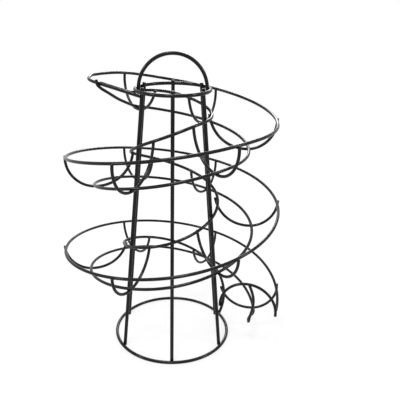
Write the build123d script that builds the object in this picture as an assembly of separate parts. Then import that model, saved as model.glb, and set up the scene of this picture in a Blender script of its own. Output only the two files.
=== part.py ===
from build123d import *
import os
from math import cos, pi, radians, sin, sqrt

# Spiral wire rack for a kitchen: a splayed tower of posts carries a wire trough that winds down it.
# Millimetres, +Z up. The origin is on the floor at the tower's axis, and +Y points to the back.
# Azimuths are in degrees: 0 is right (+X), 90 is the back. The trough runs down towards lower azimuths.

# Wire sizes
ring_wire = 3.0
post_wire = 3.2
handle_wire = 3.0
rail_wire = 2.6
rib_wire = 2.5
arch_wire = 2.6
weld_set = 0.25  # how deep a wire sinks into its neighbour at a weld

# Tower
base_ring_radius = 54.4
top_ring_radius = 30.8
top_ring_height = 235.0
floor_flat = 0.25  # worn flat under the base ring, so that it stands firmly
post_azimuths = {"post_back_right": 30, "post_back": 90, "post_back_left": 150,
                 "post_front_left": 210, "post_front": 270, "post_front_right": 330}
post_rise = 2.6  # post tips above the top ring's centreline
handle_rise = 28.0  # handle apex above the top ring's centreline
handle_leg = 3.45  # straight feet below the handle's arc

# Trough: the radius of the outer rail grows steadily on the way down
outer_start_azimuth = 147.0
outer_start_radius = 84.0
outer_growth = 0.0187  # mm for each degree
bottom_outset = 5.0  # bottom rail outside the middle of the trough

# Drops of the rails' centrelines below the top ring's, by azimuth: the run is gentle in the first turn
outer_drops = {165: -4.4, 147: -4.3, 135: -4.0, 120: -2.2, 90: 5.2, 0: 24.2, -60: 26.8, -120: 39.5,
               -180: 56.5, -270: 78.5, -360: 98.8, -450: 122.0, -540: 142.0, -660: 169.0, -700: 179.5,
               -740: 193.0, -760: 200.0}
inner_drops = {200: 2.4, 180: 3.0, 135: 4.7, 90: 8.3, 45: 14.7, 0: 20.5, -60: 24.0, -120: 36.5,
               -180: 53.0, -270: 75.0, -360: 95.5, -450: 119.0, -540: 139.0, -630: 160.0, -690: 177.5,
               -720: 188.0, -750: 199.0, -770: 206.0}
# Depth of the bottom rail's centreline below the other two
depth_marks = {150: 22.0, 90: 24.8, 0: 26.0, -60: 27.5, -140: 27.5, -300: 25.0, -450: 22.5, -600: 23.0, -740: 23.5}

# Hairpin at the top, where the outer rail turns back to the tower
hairpin_radius = 20.0
hairpin_centre = (-52.8, 31.0)
hairpin_rise = 3.7  # its crown above the top ring's centreline
leg_heading = -38.5
leg_length = 50.8
leg_start_rise = 2.4  # above the top ring's centreline
leg_end_drop = 3.4  # below it, at the post
inner_lap_start = 4.5  # the inner rail lies against the leg from here
inner_lap_end = 33.0

# Ends of the trough
outer_end_azimuth = -738.6
inner_end_azimuth = -750.0
bottom_top_azimuth = 118.0  # the bottom rail rises to the hairpin from here
bottom_low_azimuth = -722.0  # and bends up to the arch past here
arch_azimuth = -740.0
arch_rise = 24.0  # apex above the outer rail's centreline
arch_foot_reach = 4.0  # feet below it

# Cradle ribs
rib_count = 15
rib_start_azimuth = 122.0
rib_step = 60.0
rib_seat_angle = 40.0  # where a rib's tip meets its rail, below the level
rib_tip_reach = 1.2

station_step = 30.0
lap = (rail_wire + rib_wire) / 2 - weld_set


def polar(azimuth, radius, height):
    return Vector(radius * cos(radians(azimuth)), radius * sin(radians(azimuth)), height)


def read_marks(marks, azimuth):
    # A smooth curve through the marks, with each slope taken from its two neighbours
    keys = sorted(marks)
    slopes = {}
    for i, key in enumerate(keys):
        low = keys[max(i - 1, 0)]
        high = keys[min(i + 1, len(keys) - 1)]
        slopes[key] = (marks[high] - marks[low]) / (high - low)
    azimuth = min(max(azimuth, keys[0]), keys[-1])
    i = min(max(j for j, key in enumerate(keys) if key <= azimuth), len(keys) - 2)
    a, b = keys[i], keys[i + 1]
    t = (azimuth - a) / (b - a)
    rise = (1 - t) ** 2 * (1 + 2 * t) * marks[a] + t ** 2 * (3 - 2 * t) * marks[b]
    return rise + (b - a) * (t * (1 - t) ** 2 * slopes[a] - t ** 2 * (1 - t) * slopes[b])


def ring_level():
    return ring_wire / 2 - floor_flat


def post_radius_at(height):
    # Posts stand inside both rings
    inset = (ring_wire + post_wire) / 2 - weld_set
    share = (top_ring_height - height) / (top_ring_height - ring_level())
    return top_ring_radius - inset + share * (base_ring_radius - top_ring_radius)


def outer_at(azimuth):
    radius = outer_start_radius + outer_growth * (outer_start_azimuth - azimuth)
    return polar(azimuth, radius, top_ring_height - read_marks(outer_drops, azimuth))


def inner_at(azimuth):
    height = top_ring_height - read_marks(inner_drops, azimuth)
    radius = post_radius_at(height) + (post_wire + rail_wire) / 2 - weld_set
    return polar(azimuth, radius, height)


def plan_radius(point):
    return sqrt(point.X ** 2 + point.Y ** 2)


def bottom_at(azimuth):
    outer = outer_at(azimuth)
    inner = inner_at(azimuth)
    radius = (plan_radius(outer) + plan_radius(inner)) / 2 + bottom_outset
    height = (outer.Z + inner.Z) / 2 - read_marks(depth_marks, azimuth)
    return polar(azimuth, radius, height)


def run(curve, first, last):
    # Stations down a rail, each with its point and direction
    count = max(2, round((first - last) / station_step))
    stations = []
    for i in range(count + 1):
        azimuth = first + (last - first) * i / count
        ahead = curve(azimuth - 0.5) - curve(azimuth + 0.5)
        stations.append((curve(azimuth), ahead.normalized()))
    return stations


def join_smoothly(stations):
    # Two tangent arcs between each pair of stations
    edges = []
    for (start, leave), (end, arrive) in zip(stations, stations[1:]):
        chord = end - start
        if chord.normalized().dot(leave) > 0.999999 and chord.normalized().dot(arrive) > 0.999999:
            edges.append(Edge.make_line(start, end))
            continue
        both = leave + arrive
        turn = 2 * (1 - leave.dot(arrive))
        along = chord.dot(both)
        if turn < 1e-9:
            reach = chord.dot(chord) / (4 * chord.dot(arrive))
        else:
            reach = (-along + sqrt(along ** 2 + turn * chord.dot(chord))) / turn
        middle = (start + end + (leave - arrive) * reach) / 2
        edges.append(Edge.make_tangent_arc(start, leave, middle))
        edges.append(Edge.make_tangent_arc(middle, edges[-1].tangent_at(1), end))
    return edges


def wire_along(edges, size, name):
    path = Wire(edges)
    section = Plane(origin=path.position_at(0), z_dir=path.tangent_at(0)) * Circle(size / 2)
    solid = sweep(section, path=path)
    print(name, "wire length", round(path.length, 1), "volume ratio",
          round(solid.volume / (pi * size ** 2 / 4 * path.length), 4))
    return solid


def level_direction(heading):
    return Vector(cos(radians(heading)), sin(radians(heading)), 0)


# Rings, posts and handle
half_space = Pos(0, 0, -10) * Box(400, 400, 20)
base_ring = Pos(0, 0, ring_level()) * Torus(base_ring_radius, ring_wire / 2) - half_space
top_ring = Pos(0, 0, top_ring_height) * Torus(top_ring_radius, ring_wire / 2)


def make_post(azimuth):
    low = polar(azimuth, post_radius_at(-5), -5)
    high = polar(azimuth, post_radius_at(top_ring_height + post_rise), top_ring_height + post_rise)
    axis = high - low
    return extrude(Plane(origin=low, z_dir=axis.normalized()) * Circle(post_wire / 2), axis.length) - half_space


def make_handle():
    radius = top_ring_radius - (ring_wire + handle_wire) / 2 + weld_set
    peak = top_ring_height + handle_rise
    spring = peak - radius
    foot = spring - handle_leg
    left_foot, left, apex = Vector(-radius, 0, foot), Vector(-radius, 0, spring), Vector(0, 0, peak)
    right, right_foot = Vector(radius, 0, spring), Vector(radius, 0, foot)
    edges = [Edge.make_line(left_foot, left), Edge.make_three_point_arc(left, apex, right),
             Edge.make_line(right, right_foot)]
    return wire_along(edges, handle_wire, "handle_hoop") - top_ring


# Outer rail: leg from the front-left post, hairpin, then the run down to the exit
def leg_point(distance, side=0.0):
    heading = radians(leg_heading)
    start = Vector(hairpin_centre[0] + hairpin_radius * sin(heading),
                   hairpin_centre[1] - hairpin_radius * cos(heading), top_ring_height + leg_start_rise)
    fall = (leg_start_rise + leg_end_drop) / leg_length
    left = Vector(-sin(heading), cos(heading), 0)
    return start + level_direction(leg_heading) * distance - Vector(0, 0, fall * distance) + left * side


def make_outer_rail():
    leg_run = (leg_point(0) - leg_point(leg_length)).normalized()
    tip = Vector(hairpin_centre[0] - hairpin_radius, hairpin_centre[1], top_ring_height + hairpin_rise)
    stations = [(leg_point(leg_length), leg_run), (leg_point(0), leg_run),
                (tip, Vector(0, 1, 0.03).normalized())]
    return wire_along(join_smoothly(stations + run(outer_at, outer_start_azimuth, outer_end_azimuth)),
                      rail_wire, "outer_rail")


def make_inner_rail():
    side = rail_wire - weld_set
    leg_run = (leg_point(1) - leg_point(0)).normalized()
    bend_start = leg_point(inner_lap_end, side)
    stations = [(leg_point(inner_lap_start, side), leg_run), (bend_start, leg_run)]
    stations += run(inner_at, 178.0, inner_end_azimuth)
    return wire_along(join_smoothly(stations), rail_wire, "inner_rail")


def make_bottom_rail():
    # Both ends of this rail are placed from the top ring's centre
    top_ring_centre = Vector(0, 0, top_ring_height)
    top = [Vector(-63.4, 9.4, 5.0), Vector(-62.3, 10.6, 0.4), Vector(-55.5, 20.5, -7.0), Vector(-46.5, 35.5, -16.0)]
    rise = [Vector(0.18, 0.10, -1), Vector(0.42, 0.62, -0.66), Vector(0.53, 0.72, -0.50), Vector(0.54, 0.76, -0.42)]
    stations = [(top_ring_centre + p, d.normalized()) for p, d in zip(top, rise)]
    stations += run(bottom_at, bottom_top_azimuth, bottom_low_azimuth)
    apex = polar(arch_azimuth, 74.7, outer_at(arch_azimuth).Z + arch_rise) - top_ring_centre
    ahead = Vector(sin(radians(arch_azimuth)), -cos(radians(arch_azimuth)), 0)
    low = [Vector(73.4, -14.0, -215.4), Vector(73.3, -19.6, -211.6), Vector(75.2, -25.0, -190.0),
           apex + ahead * ((rail_wire + arch_wire) / 2 - weld_set) + Vector(0, 0, 1.6)]
    lift = [Vector(-0.15, -0.95, -0.28), Vector(0.05, -0.24, 0.97), Vector(0.0, -0.16, 0.99), Vector(-0.4, -0.05, 0.9)]
    stations += [(top_ring_centre + p, d.normalized()) for p, d in zip(low, lift)]
    return wire_along(join_smoothly(stations), rail_wire, "bottom_rail")


def make_arch():
    # The exit arch stands across the trough, with its feet outside both rails
    outer = polar(arch_azimuth, plan_radius(outer_at(arch_azimuth)), 0)
    inner = polar(arch_azimuth, plan_radius(inner_at(arch_azimuth)) - lap, 0)
    radius = (outer - inner).length / 2
    rail_level = outer_at(arch_azimuth).Z
    peak = rail_level + arch_rise
    spring = Vector(0, 0, peak - radius)
    foot = Vector(0, 0, min(rail_level - arch_foot_reach, spring.Z - arch_wire / 2))
    apex = (outer + inner) / 2 + Vector(0, 0, peak)
    edges = [Edge.make_line(outer + foot, outer + spring),
             Edge.make_three_point_arc(outer + spring, apex, inner + spring),
             Edge.make_line(inner + spring, inner + foot)]
    return wire_along(edges, arch_wire, "end_arch")


def make_rib(azimuth, name):
    # A cradle rib hangs from both side rails and passes under the bottom rail
    outward = polar(azimuth, 1, 0)
    seat = radians(rib_seat_angle)
    sink = Vector(0, 0, lap * sin(seat))
    outer_seat = outer_at(azimuth) + outward * lap * cos(seat) - sink
    inner_seat = inner_at(azimuth) - outward * lap * cos(seat) - sink
    low = bottom_at(azimuth) - Vector(0, 0, lap)
    outer_arc = Edge.make_tangent_arc(low, outward, outer_seat)
    inner_arc = Edge.make_tangent_arc(low, outward * -1, inner_seat)
    outer_tip = Edge.make_line(outer_seat, outer_seat + outer_arc.tangent_at(1) * rib_tip_reach)
    inner_tip = Edge.make_line(inner_seat, inner_seat + inner_arc.tangent_at(1) * rib_tip_reach)
    return wire_along([outer_tip, outer_arc, inner_arc, inner_tip], rib_wire, name)


# Build every wire, then dent the softer neighbour at each weld so that faces meet
outer_rail = make_outer_rail()
inner_rail = make_inner_rail() - outer_rail
bottom_rail = make_bottom_rail() - outer_rail
end_arch = make_arch() - outer_rail - inner_rail - bottom_rail
parts = {"base_ring": base_ring, "top_ring": top_ring, "handle_hoop": make_handle(),
         "outer_rail": outer_rail, "inner_rail": inner_rail, "bottom_rail": bottom_rail, "end_arch": end_arch}
for name, azimuth in post_azimuths.items():
    post = make_post(azimuth) - base_ring - top_ring - inner_rail
    parts[name] = post - outer_rail
for i in range(rib_count):
    name = f"cradle_rib_{i + 1:02d}"
    rib = make_rib(rib_start_azimuth - rib_step * i, name)
    parts[name] = rib - outer_rail - inner_rail - bottom_rail

os.makedirs("parts", exist_ok=True)
for name, shape in parts.items():
    solids = shape.solids() if hasattr(shape, "solids") else [shape]
    solid = max(solids, key=lambda s: s.volume)
    solid.label = name
    export_step(solid, f"parts/{name}.step")
    print(name, len(solids), "solid", round(solid.volume, 1), "mm3")
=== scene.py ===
import math

import bmesh
import bpy
from mathutils import Matrix, Vector, noise
from mathutils.bvhtree import BVHTree


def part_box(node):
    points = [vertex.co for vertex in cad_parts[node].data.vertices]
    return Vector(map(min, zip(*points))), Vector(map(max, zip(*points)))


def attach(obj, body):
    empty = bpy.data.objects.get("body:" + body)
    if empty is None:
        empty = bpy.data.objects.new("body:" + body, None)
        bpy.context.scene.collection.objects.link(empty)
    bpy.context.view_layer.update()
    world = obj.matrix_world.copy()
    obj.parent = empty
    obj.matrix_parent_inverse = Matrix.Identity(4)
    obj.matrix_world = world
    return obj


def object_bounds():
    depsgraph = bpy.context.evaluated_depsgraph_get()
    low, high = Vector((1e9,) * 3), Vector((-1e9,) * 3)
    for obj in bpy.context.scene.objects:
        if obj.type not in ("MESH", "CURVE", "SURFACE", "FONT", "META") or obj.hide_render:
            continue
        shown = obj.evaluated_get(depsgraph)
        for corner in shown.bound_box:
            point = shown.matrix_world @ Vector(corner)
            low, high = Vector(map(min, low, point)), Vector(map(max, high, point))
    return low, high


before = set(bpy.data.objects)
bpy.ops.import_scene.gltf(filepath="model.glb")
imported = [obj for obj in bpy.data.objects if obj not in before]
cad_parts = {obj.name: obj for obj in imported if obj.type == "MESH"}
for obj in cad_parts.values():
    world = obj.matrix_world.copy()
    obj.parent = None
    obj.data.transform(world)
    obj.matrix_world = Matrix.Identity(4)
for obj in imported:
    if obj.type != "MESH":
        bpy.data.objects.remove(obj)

# Spiral wire rack: one coated, welded piece that stands on a pale floor.
# Lengths are in metres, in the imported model's frame
mm = 0.001
cadBox = [list(corner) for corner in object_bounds()]
scene = bpy.context.scene
scene.view_settings.view_transform = "Standard"
posts = sorted(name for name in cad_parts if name.startswith("post_"))
ribs = sorted(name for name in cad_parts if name.startswith("cradle_rib_"))
rails = ["outer_rail", "inner_rail", "bottom_rail"]
print("frame loaded with", len(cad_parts), "wires")


class Flow:  # a node's output that takes part in arithmetic
    def __init__(self, tree, socket):
        self.tree = tree
        self.socket = socket

    def math(self, operation, other, swapped=False):
        first, second = (other, self) if swapped else (self, other)
        return makeNode(self.tree, "Math", {0: first, 1: second}, operation=operation)

    def __add__(self, other):
        return self.math("ADD", other)

    def __radd__(self, other):
        return self.math("ADD", other, swapped=True)

    def __sub__(self, other):
        return self.math("SUBTRACT", other)

    def __rsub__(self, other):
        return self.math("SUBTRACT", other, swapped=True)

    def __mul__(self, other):
        return self.math("MULTIPLY", other)

    def __rmul__(self, other):
        return self.math("MULTIPLY", other, swapped=True)

    def ramp(self, low, high):  # 0 below low, 1 above high, smooth between
        return makeNode(self.tree, "MapRange", {"Value": self, "From Min": low, "From Max": high},
                        interpolation_type="SMOOTHSTEP")


def connect(tree, value, target):
    if isinstance(value, Flow):
        tree.links.new(value.socket, target)
    else:
        target.default_value = value


def makeNode(tree, kind, inputs=None, output=0, **settings):  # settings first, then values and links
    made = tree.nodes.new("ShaderNode" + kind)
    for name, value in settings.items():
        setattr(made, name, value)
    for name, value in (inputs or {}).items():
        connect(tree, value, made.inputs[name])
    return Flow(tree, made.outputs[output]) if len(made.outputs) else None


def blendColours(tree, factor, first, second):  # sockets 6 and 7 are the Mix node's two colours
    return makeNode(tree, "Mix", {0: factor, 6: first, 7: second}, output=2, data_type="RGBA")


def speckle(tree, place, scale, detail):
    return makeNode(tree, "TexNoise", {"Vector": place, "Scale": scale, "Detail": detail})


def newTree(name):
    material = bpy.data.materials.new(name)
    material.use_nodes = True
    material.node_tree.nodes.clear()
    return material, material.node_tree


# Black powder coat: near-black with soft clouds, pebbled, fine dust on top, rubbed where it stands
wireLook = {
    "clouds": (55.0, 2.0), "patches": (210.0, 3.0),  # each noise: scale per metre, detail
    "pebble": (820.0, 1.5), "grain": (5200.0, 1.0),
    "dark": (0.003, 0.0031, 0.0034, 1), "light": (0.0085, 0.0087, 0.009, 1),
    "cloudLimits": (0.3, 0.7),  # where the light colour starts, and where it is full
    "dustColour": (0.11, 0.105, 0.1, 1), "dust": 0.08,
    "dustFacing": (0.2, 0.95), "dustPatches": (0.45, 0.75),
    "wornColour": (0.16, 0.155, 0.15, 1), "wear": 0.6, "wornPatches": (0.4, 0.6),
    "wornHeights": (0.1 * mm, 0.7 * mm),  # worn below the first, sound above the second
    "roughness": 0.26, "patchRoughness": 0.16, "grainRoughness": 0.08, "dustRoughness": 0.25,
    "relief": 0.5, "reliefDepth": 0.05 * mm, "grainRelief": 0.22,
    "refraction": 1.5, "shine": 0.07, "coat": 0.24, "coatRoughness": 0.08}
ribLook = dict(wireLook, roughness=0.3, pebble=(900.0, 1.5), dust=0.1)
towerLook = dict(wireLook, roughness=0.28, dust=0.06)
beadLook = dict(wireLook, roughness=0.36, pebble=(1300.0, 1.5), relief=0.7, dust=0.12)
noiseMiddle = 0.5


def powderCoat(name, look):
    material, tree = newTree(name)
    place = makeNode(tree, "TexCoord", output="Object")
    height = makeNode(tree, "SeparateXYZ", {0: place}, output="Z")
    upward = makeNode(tree, "SeparateXYZ", {0: makeNode(tree, "NewGeometry", output="Normal")}, output="Z")
    clouds = speckle(tree, place, *look["clouds"])
    patches = speckle(tree, place, *look["patches"])
    pebble = speckle(tree, place, *look["pebble"])
    grain = speckle(tree, place, *look["grain"])
    dust = upward.ramp(*look["dustFacing"]) * patches.ramp(*look["dustPatches"]) * look["dust"]
    worn = (1.0 - height.ramp(*look["wornHeights"])) * patches.ramp(*look["wornPatches"]) * look["wear"]
    colour = blendColours(tree, clouds.ramp(*look["cloudLimits"]), look["dark"], look["light"])
    colour = blendColours(tree, dust, colour, look["dustColour"])
    colour = blendColours(tree, worn, colour, look["wornColour"])
    roughness = look["roughness"] + (patches - noiseMiddle) * look["patchRoughness"]
    roughness = roughness + (grain - noiseMiddle) * look["grainRoughness"] + dust * look["dustRoughness"]
    normal = makeNode(tree, "Bump", {"Strength": look["relief"], "Distance": look["reliefDepth"],
                                     "Height": pebble + grain * look["grainRelief"]})
    shader = makeNode(tree, "BsdfPrincipled", {
        "Base Color": colour, "Roughness": roughness, "IOR": look["refraction"],
        "Specular IOR Level": look["shine"], "Coat Weight": look["coat"],
        "Coat Roughness": look["coatRoughness"], "Normal": normal})
    makeNode(tree, "OutputMaterial", {0: shader})
    return material


coats = {"rails": powderCoat("powder_coat_rails", wireLook),
         "ribs": powderCoat("powder_coat_ribs", ribLook),
         "tower": powderCoat("powder_coat_tower", towerLook),
         "beads": powderCoat("powder_coat_welds", beadLook)}
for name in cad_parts:
    wire = bpy.data.objects[name]
    kind = "rails" if name in rails or name == "end_arch" else "ribs" if name in ribs else "tower"
    wire.data.materials.clear()
    wire.data.materials.append(coats[kind])
print("powder coats made")

# Weld beads, where a wire is seated into its neighbour: radius, flatness, and the wires that meet
troughWelds = [(rib, rail) for rib in ribs for rail in rails]
postWelds = [(post, other) for post in posts for other in ("base_ring", "top_ring", "inner_rail")]
topWelds = [("handle_hoop", "top_ring"), ("post_front_left", "outer_rail"),
            ("inner_rail", "outer_rail"), ("bottom_rail", "outer_rail")]
exitWelds = [("end_arch", rail) for rail in rails]
beadPieces = {"weld_beads_trough": {"radius": 1.15 * mm, "flat": 0.52, "pairs": troughWelds},
              "weld_beads_tower": {"radius": 1.2 * mm, "flat": 0.5, "pairs": postWelds + topWelds},
              "weld_beads_exit": {"radius": 1.1 * mm, "flat": 0.5, "pairs": exitWelds}}
beadRipple = {"height": 0.16, "scale": 1.7, "step": (3.1, 1.7, 0), "subdivisions": 3}
weldSearch = {"reach": 0.12 * mm,  # how close two wires' surfaces are at a weld
              "spread": 2.8 * mm,  # points nearer than this are one weld
              "fewest": 3}


def surfaceOf(name):
    mesh = bpy.data.objects[name].data
    return BVHTree.FromPolygons([vertex.co for vertex in mesh.vertices],
                                [face.vertices for face in mesh.polygons])


points = {name: [vertex.co.copy() for vertex in bpy.data.objects[name].data.vertices]
          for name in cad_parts}
surfaces = {name: surfaceOf(name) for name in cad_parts}


def weldPlaces(wire, other):  # where the surfaces meet: the middle and the other wire's normal
    low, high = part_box(other)
    reach = weldSearch["reach"]
    close = []
    for point in points[wire]:
        if all(low[i] - reach <= point[i] <= high[i] + reach for i in range(3)):
            spot, normal = surfaces[other].find_nearest(point, reach)[:2]
            if spot is not None:
                close.append((point, normal))
    welds = []  # sums of places and normals, and how many
    for point, normal in close:
        for weld in welds:
            if (weld[0] / weld[2] - point).length < weldSearch["spread"]:
                weld[0] += point
                weld[1] += normal
                weld[2] += 1
                break
        else:
            welds.append([point.copy(), normal.copy(), 1])
    return [(weld[0] / weld[2], weld[1].normalized()) for weld in welds if weld[2] >= weldSearch["fewest"]]


def addBead(mesh, centre, normal, look, seed):
    ball = bmesh.ops.create_icosphere(mesh, subdivisions=beadRipple["subdivisions"], radius=1.0)["verts"]
    turn = normal.to_track_quat("Z", "Y").to_matrix()
    shift = Vector([seed * step for step in beadRipple["step"]])
    for vertex in ball:
        ripple = 1 + beadRipple["height"] * noise.noise(vertex.co * beadRipple["scale"] + shift)
        radius = look["radius"] * ripple
        squashed = Vector((vertex.co.x * radius, vertex.co.y * radius, vertex.co.z * radius * look["flat"]))
        vertex.co = centre + turn @ squashed


def keep(name, mesh):
    for vertex in mesh.verts:  # added coating stays inside the wires' own box
        vertex.co = Vector(min(max(vertex.co[i], cadBox[0][i]), cadBox[1][i]) for i in range(3))
    data = bpy.data.meshes.new(name)
    mesh.to_mesh(data)
    mesh.free()
    piece = bpy.data.objects.new(name, data)
    scene.collection.objects.link(piece)
    data.materials.append(coats["beads"])
    for face in data.polygons:
        face.use_smooth = True
    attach(piece, "root")


for name, look in beadPieces.items():
    mesh = bmesh.new()
    count = 0
    for wire, other in look["pairs"]:
        for centre, normal in weldPlaces(wire, other):
            addBead(mesh, centre, normal, look, count + len(name))
            count += 1
    keep(name, mesh)
    print(name, count, "beads")

# Coated wire ends: a low dome on each cut face, found by its flat disc of the wire's own size
endLook = {"dome": 0.42, "rings": 5, "segments": 24,
           "keptAbove": -0.01}  # of the ball's radius, so that its widest ring stays
wireSizes = dict({"handle_hoop": 3.0 * mm, "end_arch": 2.6 * mm}, **{name: 2.6 * mm for name in rails},
                 **{name: 3.2 * mm for name in posts}, **{name: 2.5 * mm for name in ribs})
discSearch = {"flat": 0.99995,  # cosine between the faces of one disc
              "share": (0.5, 1.02),  # of the area of the wire's section
              "reach": 1.2,  # furthest corner, in wire radii
              "lowest": 1.0 * mm,
              "lap": 0.04}  # how far a dome runs past its disc, in wire radii


def cutFaces(name, radius):  # the flat islands of a wire's mesh that are as large as its section
    mesh = bpy.data.objects[name].data
    around = {}  # faces at each corner, by its place in mm
    corners = []
    for face in mesh.polygons:
        keys = [tuple(round(value / mm, 3) for value in mesh.vertices[i].co) for i in face.vertices]
        corners.append(keys)
        for key in keys:
            around.setdefault(key, []).append(face.index)
    ends = []
    seen = set()
    for first in mesh.polygons:
        if first.index in seen:
            continue
        island = [first.index]
        seen.add(first.index)
        for index in island:  # grows as flat neighbours are found
            for other in (near for key in corners[index] for near in around[key]):
                if other not in seen and mesh.polygons[other].normal.dot(first.normal) > discSearch["flat"]:
                    seen.add(other)
                    island.append(other)
        faces = [mesh.polygons[index] for index in island]
        area = sum(face.area for face in faces)
        share = area / (math.pi * radius * radius)
        if not discSearch["share"][0] < share < discSearch["share"][1]:
            continue
        middle = sum((face.center * face.area for face in faces), Vector((0, 0, 0))) / area
        reach = max((mesh.vertices[i].co - middle).length for face in faces for i in face.vertices)
        if reach < discSearch["reach"] * radius and middle.z > discSearch["lowest"]:
            domeRadius = radius * min(1.0, math.sqrt(share) + discSearch["lap"])
            ends.append((middle, first.normal.copy(), domeRadius))
    return ends


def addDome(mesh, centre, normal, radius):
    turn = normal.to_track_quat("Z", "Y").to_matrix()
    ball = bmesh.ops.create_uvsphere(mesh, u_segments=endLook["segments"], v_segments=2 * endLook["rings"],
                                     radius=1.0)["verts"]
    above = [vertex for vertex in ball if vertex.co.z > endLook["keptAbove"]]
    below = [vertex for vertex in ball if vertex.co.z <= endLook["keptAbove"]]
    bmesh.ops.delete(mesh, geom=below, context="VERTS")
    for vertex in above:
        lowered = Vector((vertex.co.x, vertex.co.y, vertex.co.z * endLook["dome"]))
        vertex.co = centre + turn @ (lowered * radius)


mesh = bmesh.new()
count = 0
for name, size in wireSizes.items():
    for centre, normal, radius in cutFaces(name, size / 2):
        addDome(mesh, centre, normal, radius)
        count += 1
keep("wire_end_coats", mesh)
print("wire ends", count)


def shownRay(tree):  # 1 for camera, glossy and transmission rays
    shown = makeNode(tree, "LightPath", output="Is Camera Ray")
    shown = shown.math("MAXIMUM", makeNode(tree, "LightPath", output="Is Glossy Ray"))
    return shown.math("MAXIMUM", makeNode(tree, "LightPath", output="Is Transmission Ray"))


# Floor: white to the camera, and near the rack it keeps the shadow
white = (1, 1, 1, 1)
floorLook = {"size": 8.0, "below": 0.1 * mm, "colour": (0.9, 0.9, 0.9, 1), "strength": 1.0,
             "near": 0.74,  # the glow's share beside the rack
             "fade": (0.25, 0.9)}  # distances over which the glow takes over
shape = bmesh.new()
bmesh.ops.create_grid(shape, x_segments=1, y_segments=1, size=floorLook["size"] / 2)
floorMesh = bpy.data.meshes.new("floor")
shape.to_mesh(floorMesh)
shape.free()
floor = bpy.data.objects.new("floor", floorMesh)
floor.location = (0, 0, -floorLook["below"])
scene.collection.objects.link(floor)
floorMaterial, tree = newTree("white_floor")
diffuse = makeNode(tree, "BsdfDiffuse", {"Color": floorLook["colour"]})
glow = makeNode(tree, "Emission", {"Color": white, "Strength": floorLook["strength"]})
distance = makeNode(tree, "VectorMath", {0: makeNode(tree, "TexCoord", output="Object")}, output="Value",
                    operation="LENGTH")
share = floorLook["near"] + distance.ramp(*floorLook["fade"]) * (1 - floorLook["near"])
mixed = makeNode(tree, "MixShader", {0: shownRay(tree) * share, 1: diffuse, 2: glow})
makeNode(tree, "OutputMaterial", {0: mixed})
floorMesh.materials.append(floorMaterial)

# Room: white to the camera, and a plain soft light on the rack
roomLook = {"lit": 0.35, "shown": 1.0}
world = bpy.data.worlds.new("studio")
world.use_nodes = True
scene.world = world
tree = world.node_tree
tree.nodes.clear()
lit = makeNode(tree, "Background", {"Color": white, "Strength": roomLook["lit"]})
shown = makeNode(tree, "Background", {"Color": white, "Strength": roomLook["shown"]})
makeNode(tree, "OutputWorld", {0: makeNode(tree, "MixShader", {0: shownRay(tree), 1: lit, 2: shown})})

# Studio lamps, aimed at the middle of the rack: place and width in metres, power in watts
lamps = {"softbox_top": {"at": (-0.15, -0.3, 1.3), "size": 0.3, "power": 10.0},
         "softbox_left": {"at": (-1.0, -0.5, 0.75), "size": 0.25, "power": 4.5},
         "softbox_right": {"at": (1.0, -0.4, 0.75), "size": 0.25, "power": 4.5},
         "softbox_back": {"at": (0.1, 1.25, 0.8), "size": 0.45, "power": 9.0}}
aim = Vector((0, 0, 0.13))
for name, look in lamps.items():
    lamp = bpy.data.lights.new(name, "AREA")
    lamp.size = look["size"]
    lamp.energy = look["power"]
    holder = bpy.data.objects.new(name, lamp)
    holder.location = look["at"]
    holder.rotation_mode = "QUATERNION"
    holder.rotation_quaternion = (aim - holder.location).to_track_quat("-Z", "Y")
    scene.collection.objects.link(holder)

# Camera at the photograph's viewing angle
view = {"frame": 400, "focal": 518.316, "centre": (185.0, 228.0),  # pixels
        "at": (1.614, -431.772, 306.989), "sensor": 36, "nearest": 10,  # mm
        "pitch": 24.459, "roll": 0.813, "yaw": 1.311}  # degrees
pitch, roll, yaw = (math.radians(view[name]) for name in ("pitch", "roll", "yaw"))
forward = Vector((math.sin(yaw) * math.cos(pitch), math.cos(yaw) * math.cos(pitch), -math.sin(pitch)))
level = forward.cross(Vector((0, 0, 1))).normalized()
upright = level.cross(forward)
right = level * math.cos(roll) + upright * math.sin(roll)
up = upright * math.cos(roll) - level * math.sin(roll)
camera = bpy.data.cameras.new("camera")
camera.sensor_width = view["sensor"]
camera.lens = view["focal"] / view["frame"] * view["sensor"]
camera.shift_x = 0.5 - view["centre"][0] / view["frame"]
camera.shift_y = view["centre"][1] / view["frame"] - 0.5
camera.clip_start = view["nearest"] * mm
eye = bpy.data.objects.new("camera", camera)
turned = Matrix((right, up, -forward)).transposed().to_4x4()
eye.matrix_world = Matrix.Translation(Vector(view["at"]) * mm) @ turned
scene.collection.objects.link(eye)
scene.camera = eye
print("floor, lamps and camera placed")
